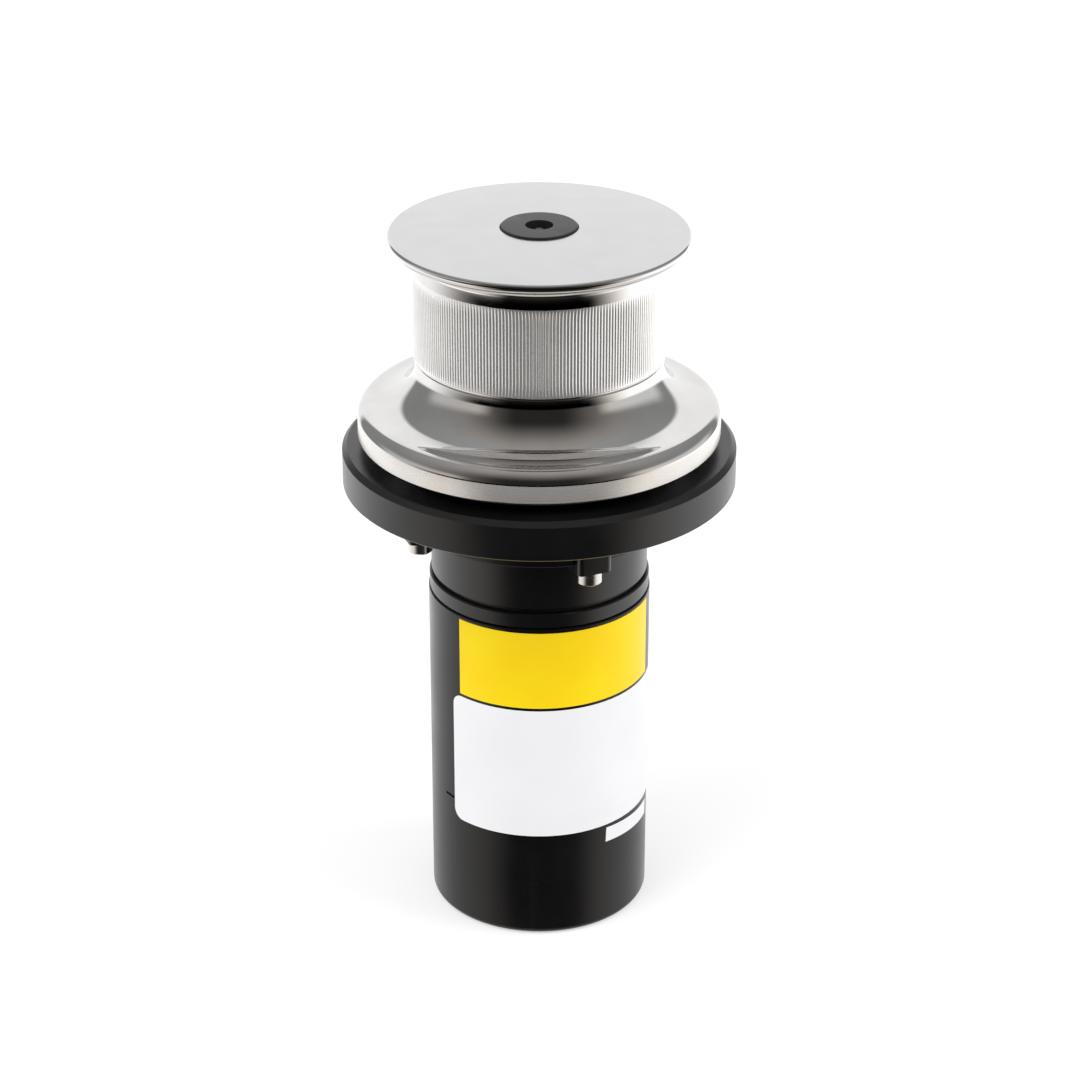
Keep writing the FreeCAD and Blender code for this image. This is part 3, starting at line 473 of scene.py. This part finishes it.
class CAPSTAN_OT_flutes(bpy.types.Operator):
    """Shapes one grip flute with pointed ends and repeats it round the barrel"""

    bl_idname = "capstan.flutes"
    bl_label = "Grip flutes"

    MARGIN = 0.4 * MM          # plain metal past the flutes' tips
    WALL = 0.4 * MM            # the sleeve's thickness, inwards
    TIP = 0.02                 # a groove's width at its tips, as a share of the pitch
    # each end of a groove narrows to a point: distance from the tip, share of the pitch
    TAPER = ((0.0, TIP), (0.7 * MM, 0.38), (1.8 * MM, 0.66), (3.4 * MM, 0.85), (5.5 * MM, 0.94))
    GROOVE_STEPS = 8

    def execute(self, context):
        sizes = context.scene.capstan_sizes
        radius, depth = sizes.barrel_radius, sizes.flute_depth
        low, high = sizes.flute_low, sizes.flute_high
        pitch = 2 * math.pi / sizes.flute_count
        # a round groove: place across its width, depth
        shares = [i / self.GROOVE_STEPS for i in range(self.GROOVE_STEPS + 1)]
        groove = [(share, 0.5 - 0.5 * math.cos(2 * math.pi * share)) for share in shares]

        def section(z, width):
            """Points across one pitch at a height. The groove is this share of the pitch wide, and as deep."""
            points = []
            for share, deep in [(0.0, 0.0), *[(0.5 + (at - 0.5) * width, deep) for at, deep in groove], (1.0, 0.0)]:
                angle = (share - 0.5) * pitch
                r = radius - depth * deep * width
                points.append(Vector((r * math.sin(angle), -r * math.cos(angle), z)))
            return points

        rows = [section(low - self.MARGIN, self.TIP),
                *[section(low + up, width) for up, width in self.TAPER],
                *[section(high - down, width) for down, width in reversed(self.TAPER)],
                section(high + self.MARGIN, self.TIP)]
        flutes = start_vertex("drum_flutes", rows[0][0])
        draw_on(rows[0])
        bpy.ops.mesh.select_all(action="SELECT")
        for here, there in zip(rows, rows[1:]):
            bpy.ops.mesh.extrude_region_move(
                TRANSFORM_OT_translate={"value": (0, 0, there[0].z - here[0].z)})
            self.shape_row(flutes, there)
        bpy.ops.mesh.select_all(action="SELECT")
        bpy.ops.mesh.spin(steps=sizes.flute_count, dupli=True, angle=2 * math.pi, center=(0, 0, 0), axis=(0, 0, 1))
        bpy.ops.mesh.select_all(action="SELECT")
        bpy.ops.mesh.remove_doubles(threshold=2e-6)
        bpy.ops.mesh.normals_make_consistent(inside=False)
        bpy.ops.object.mode_set(mode="OBJECT")
        wall = flutes.modifiers.new("wall", "SOLIDIFY")
        wall.thickness = self.WALL
        wall.offset = -1.0
        bpy.ops.object.modifier_apply(modifier=wall.name)
        bpy.ops.object.shade_smooth_by_angle(angle=math.radians(35))
        dress(flutes, materials["fluted"])
        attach(flutes, "drum")
        return {"FINISHED"}

    @staticmethod
    def shape_row(piece, points):
        """Moves the row that was just extruded, which is selected, onto its points."""
        piece.update_from_editmode()
        row = [v for v in piece.data.vertices if v.select]
        places = sorted(row, key=lambda v: v.co.x)
        targets = sorted(points, key=lambda p: p.x)
        moves = {v.index: target - v.co for v, target in zip(places, targets)}
        bpy.ops.object.mode_set(mode="OBJECT")
        for index, move in moves.items():
            piece.data.vertices[index].co += move
        bpy.ops.object.mode_set(mode="EDIT")


class CAPSTAN_OT_cap(bpy.types.Operator):
    """Smooths the plug in the drum's top"""

    bl_idname = "capstan.cap"
    bl_label = "Drum cap"

    def execute(self, context):
        smooth_copy("drum_cap", "cap_plug", "cap", "drum")
        return {"FINISHED"}


class CAPSTAN_OT_castings(bpy.types.Operator):
    """Smooths the base flange, gearbox neck and motor front plate"""

    bl_idname = "capstan.castings"
    bl_label = "Black castings"

    def execute(self, context):
        for node, name in (("base_flange", "flange_casting"), ("gearbox_housing", "gearbox_neck"),
                           ("motor_front_plate", "front_plate")):
            smooth_copy(node, name, "coat", "base")
        return {"FINISHED"}


class CAPSTAN_OT_casing(bpy.types.Operator):
    """Smooths the motor's casing and its grommet"""

    bl_idname = "capstan.casing"
    bl_label = "Motor casing"

    def execute(self, context):
        smooth_copy("motor_casing", "casing_shell", "enamel", "base")
        smooth_copy("lead_grommet", "lead_entry", "rubber", "base", angle=40)
        return {"FINISHED"}


class CAPSTAN_OT_screws(bpy.types.Operator):
    """Smooths the four gearbox screws"""

    bl_idname = "capstan.screws"
    bl_label = "Gearbox screws"

    def execute(self, context):
        smooth_copy("gearbox_screws", "lug_screws", "screw", "base")
        return {"FINISHED"}


# name, finish, azimuth of the middle and tilt in degrees, then in mm the top edge's height, the size and the corners
LABELS = (
    ("upper_label", "yellow", 14.3, 0.0, -48.3, (93.9, 33.8), 0.0),
    ("lower_label", "white", 20.0, 0.0, -83.4, (111.2, 58.3), 4.8),
    ("small_label", "white", 57.6, 2.5, -144.0, (31.7, 6.6), 0.0),
)


def curved_label(name, finish, azimuth, tilt, top_mm, size_mm, corner_mm, thickness):
    """A label bent round the casing: a bevelled plane, cut into strips, given its thickness and bent."""
    low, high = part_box("motor_casing")
    radius = (high[0] - low[0]) / 2
    width, height = (side * MM for side in size_mm)
    deselect()
    bpy.ops.mesh.primitive_plane_add(size=1.0, rotation=(math.pi / 2, math.radians(tilt), 0))
    label = bpy.context.object
    label.name = name
    label.data.name = name
    label.scale = (width, height, 1.0)
    bpy.ops.object.transform_apply(location=True, rotation=True, scale=True)
    bpy.ops.object.mode_set(mode="EDIT")
    bpy.ops.mesh.select_all(action="SELECT")
    if corner_mm > 0:
        bpy.ops.mesh.bevel(offset=corner_mm * MM, segments=8, affect="VERTICES")
    strips = max(8, round(width / radius / math.radians(2.5)))
    for i in range(1, strips):
        bpy.ops.mesh.select_all(action="SELECT")
        bpy.ops.mesh.bisect(plane_co=(width * (i / strips - 0.5), 0, 0), plane_no=(1, 0, 0))
    bpy.ops.mesh.select_all(action="SELECT")
    bpy.ops.mesh.extrude_region_move(TRANSFORM_OT_translate={"value": (0, thickness * 1.5, 0)})
    bpy.ops.mesh.select_all(action="SELECT")
    bpy.ops.mesh.normals_make_consistent(inside=False)
    bpy.ops.object.mode_set(mode="OBJECT")
    bend = label.modifiers.new("bend", "SIMPLE_DEFORM")
    bend.deform_method = "BEND"
    bend.deform_axis = "Z"
    bend.angle = width / (radius + thickness)
    bpy.ops.object.modifier_apply(modifier=bend.name)
    label.location = (0, -radius - thickness, 0)
    bpy.ops.object.transform_apply(location=True, rotation=False, scale=False)
    label.rotation_euler = (0, 0, math.radians(azimuth))
    label.location = (0, 0, top_mm * MM - height / 2)
    bpy.ops.object.transform_apply(location=True, rotation=True, scale=False)
    bpy.ops.object.shade_smooth_by_angle(angle=math.radians(30))
    dress(label, materials[finish])
    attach(label, "base")


class CAPSTAN_OT_labels(bpy.types.Operator):
    """Sticks three blank labels on the motor's casing"""

    bl_idname = "capstan.labels"
    bl_label = "Labels"

    def execute(self, context):
        for label in LABELS:
            curved_label(*label, context.scene.capstan_sizes.label_thickness)
        return {"FINISHED"}


class CAPSTAN_OT_stage(bpy.types.Operator):
    """Makes the floor, the studio round it, the lamps and the camera"""

    bl_idname = "capstan.stage"
    bl_label = "Stage"

    def execute(self, context):
        self.floor()
        self.studio_wall()
        self.world()
        self.lamps()
        self.camera()
        return {"FINISHED"}

    @staticmethod
    def floor():
        low = cad_box[0]
        deselect()
        bpy.ops.mesh.primitive_circle_add(vertices=96, radius=12.0, fill_type="NGON", location=(0, 0, low.z))
        floor = bpy.context.object
        floor.name = "floor"
        material, tree = new_material("pale paper floor")
        paper = add(tree, "ShaderNodeBsdfDiffuse", {}, {"Color": (0.90, 0.90, 0.90, 1.0)})
        path = add(tree, "ShaderNodeLightPath", {}, {})
        glow = add(tree, "ShaderNodeEmission", {},
                   {"Color": (1, 1, 1, 1), "Strength": path.outputs["Is Camera Ray"]})
        lift = add(tree, "ShaderNodeMixShader", {}, {0: 0.50, 1: paper.outputs[0], 2: glow.outputs[0]})
        add(tree, "ShaderNodeOutputMaterial", {}, {"Surface": lift.outputs[0]})
        dress(floor, material)
        floor.visible_glossy = False

    def studio_wall(self):
        """A dome that only reflections see: white behind, soft boxes at the sides, a dark room in front.

        All angles are in degrees: azimuth from the front towards the right, and elevation.
        """
        deselect()
        bpy.ops.mesh.primitive_uv_sphere_add(segments=96, ring_count=48, radius=4.0, location=(0, 0, 0))
        dome = bpy.context.object
        dome.name = "studio_wall"
        bpy.ops.object.shade_smooth()
        material, tree = new_material("studio wall")
        place = add(tree, "ShaderNodeTexCoord", {}, {})
        way = add(tree, "ShaderNodeVectorMath", {"operation": "NORMALIZE"}, {0: place.outputs["Object"]})
        split = add(tree, "ShaderNodeSeparateXYZ", {}, {0: way.outputs[0]})
        side, back, up = split.outputs["X"], split.outputs["Y"], split.outputs["Z"]
        front = self.math(tree, "MULTIPLY", back, -1.0)
        turn = self.math(tree, "DIVIDE", self.math(tree, "ARCTAN2", side, front), math.pi / 180)
        lift = self.math(tree, "DIVIDE", self.math(tree, "ARCSINE", up), math.pi / 180)
        away = self.math(tree, "ABSOLUTE", turn)

        # a dark room in front, lighter towards its sides, up to the ceiling, which is a wide soft light
        level = self.ramp(tree, away, 18, 76, 0.025, 0.27)
        level = self.blend(tree, level, 0.38, self.ramp(tree, lift, 14, 92, 0.0, 1.0))
        # a white backdrop, about 37 degrees to each side of the back, that runs into the ceiling above
        backdrop = self.ramp(tree, away, 139, 147, 0.0, 1.0)
        level = self.blend(tree, level, 1.05, backdrop)
        above = self.math(tree, "MULTIPLY", self.ramp(tree, lift, 38, 66, 0.0, 1.0), backdrop)
        level = self.blend(tree, level, 0.44, above)
        # low soft boxes to the right and left: azimuth, elevation, brightness
        for turns, lifts, bright in (((58, 126), (-20, 5), 0.72), ((-108, -48), (-20, 5), 0.56)):
            level = self.blend(tree, level, bright, self.window(tree, turn, lift, turns, lifts, 9.0))
        # the table: its far part, seen just below the horizon, is white at its sides only
        far = self.math(tree, "MAXIMUM", self.ramp(tree, turn, 44, 94, 0.0, 1.4),
                        self.ramp(tree, turn, -124, -52, 1.2, 0.0))
        # its near part falls off towards the front, darkest a little right of the middle, and downwards
        off_middle = self.math(tree, "ABSOLUTE", self.math(tree, "SUBTRACT", turn, 4.0))
        near = self.math(tree, "MULTIPLY", self.ramp(tree, off_middle, 31, 69, 0.03, 1.35),
                         self.ramp(tree, lift, -34, -28, 0.62, 1.0))
        # right below, it is evenly lit
        near = self.blend(tree, near, 0.80, self.ramp(tree, lift, -60, -46, 1.0, 0.0))
        table = self.blend(tree, far, near, self.ramp(tree, lift, -23.6, -21.4, 1.0, 0.0))
        level = self.blend(tree, level, table, self.ramp(tree, lift, -16, -12, 1.0, 0.0))
        # the room is warm in front
        hue = mix_colours(tree, self.ramp(tree, away, 60, 100, 0.0, 1.0), "FFF7F0", "FFFFFF")
        glow = add(tree, "ShaderNodeEmission", {}, {"Color": hue, "Strength": level})
        add(tree, "ShaderNodeOutputMaterial", {}, {"Surface": glow.outputs[0]})
        dress(dome, material)
        dome.visible_camera = False
        dome.visible_diffuse = False
        dome.visible_transmission = False
        dome.visible_shadow = False

    @staticmethod
    def math(tree, operation, first, second=0.0):
        return add(tree, "ShaderNodeMath", {"operation": operation}, {0: first, 1: second}).outputs[0]

    @staticmethod
    def ramp(tree, value, start, end, low, high):
        """low up to start, high from end on, and a smooth step between."""
        return add(tree, "ShaderNodeMapRange", {"interpolation_type": "SMOOTHSTEP"},
                   {"Value": value, "From Min": start, "From Max": end, "To Min": low, "To Max": high}
                   ).outputs["Result"]

    def blend(self, tree, level, other, share):
        """level, blended towards other by share."""
        gap = self.math(tree, "SUBTRACT", other, level)
        return self.math(tree, "ADD", level, self.math(tree, "MULTIPLY", gap, share))

    def window(self, tree, turn, lift, turns, lifts, soft):
        """1 inside a rectangle of azimuth and elevation, in degrees, with soft edges."""
        inside = 1.0
        for value, (start, end) in ((turn, turns), (lift, lifts)):
            for edge, outside, within in ((start, 0.0, 1.0), (end, 1.0, 0.0)):
                step = self.ramp(tree, value, edge - soft, edge + soft, outside, within)
                inside = self.math(tree, "MULTIPLY", inside, step)
        return inside

    @staticmethod
    def world():
        world = bpy.data.worlds.new("white studio")
        bpy.context.scene.world = world
        world.use_nodes = True
        tree = world.node_tree
        tree.nodes.clear()
        path = add(tree, "ShaderNodeLightPath", {}, {})
        seen = add(tree, "ShaderNodeMath", {"operation": "MAXIMUM"},
                   {0: path.outputs["Is Camera Ray"], 1: path.outputs["Is Glossy Ray"]})
        seen = add(tree, "ShaderNodeMath", {"operation": "MAXIMUM"},
                   {0: seen.outputs[0], 1: path.outputs["Is Transmission Ray"]})
        level = add(tree, "ShaderNodeMapRange", {}, {"Value": seen.outputs[0], "To Min": 0.95, "To Max": 1.0})
        sky = add(tree, "ShaderNodeBackground", {}, {"Color": (1, 1, 1, 1), "Strength": level.outputs["Result"]})
        add(tree, "ShaderNodeOutputWorld", {}, {"Surface": sky.outputs[0]})

    @staticmethod
    def lamps():
        for name, place, size, power in (("key_lamp", (-1.1, -0.9, 1.8), 1.4, 25.0),
                                         ("fill_lamp", (1.5, -0.3, 1.2), 1.2, 17.0)):
            deselect()
            bpy.ops.object.light_add(type="AREA", location=place)
            lamp = bpy.context.object
            lamp.name = name
            lamp.data.shape = "DISK"
            lamp.data.size = size
            lamp.data.energy = power
            lamp.visible_glossy = False
            lamp.rotation_euler = (-Vector(place)).to_track_quat("-Z", "Y").to_euler()

    @staticmethod
    def camera():
        deselect()
        bpy.ops.object.camera_add(location=(0, -1.1177, 0.5104), rotation=(math.radians(64.25), 0, 0))
        camera = bpy.context.object
        camera.data.sensor_width = 36.0
        camera.data.lens = 101.6
        camera.data.shift_x = 0.0007
        camera.data.clip_start = 0.05
        bpy.context.scene.camera = camera
        bpy.context.scene.view_settings.view_transform = "Standard"


class CAPSTAN_PT_panel(bpy.types.Panel):
    """Lists the steps that dress the capstan"""

    bl_idname = "CAPSTAN_PT_panel"
    bl_label = "Deck capstan"
    bl_space_type = "VIEW_3D"
    bl_region_type = "UI"
    bl_category = "Capstan"

    def draw(self, context):
        for group in (context.scene.capstan_sizes, context.scene.capstan_colours):
            for name in group.__annotations__:
                self.layout.prop(group, name)
        for step in STEPS:
            self.layout.operator(step.bl_idname)


STEPS = (
    CAPSTAN_OT_finishes, CAPSTAN_OT_drum, CAPSTAN_OT_flutes, CAPSTAN_OT_cap, CAPSTAN_OT_castings,
    CAPSTAN_OT_casing, CAPSTAN_OT_screws, CAPSTAN_OT_labels, CAPSTAN_OT_stage,
)
CLASSES = (CapstanSizes, CapstanColours, *STEPS, CAPSTAN_PT_panel)


def register():
    for cls in CLASSES:
        bpy.utils.register_class(cls)
    bpy.types.Scene.capstan_sizes = bpy.props.PointerProperty(type=CapstanSizes)
    bpy.types.Scene.capstan_colours = bpy.props.PointerProperty(type=CapstanColours)


def unregister():
    del bpy.types.Scene.capstan_sizes
    del bpy.types.Scene.capstan_colours
    for cls in reversed(CLASSES):
        bpy.utils.unregister_class(cls)


def main():
    register()
    for step in STEPS:
        group, name = step.bl_idname.split(".")
        getattr(getattr(bpy.ops, group), name)()


if __name__ == "__main__":
    main()
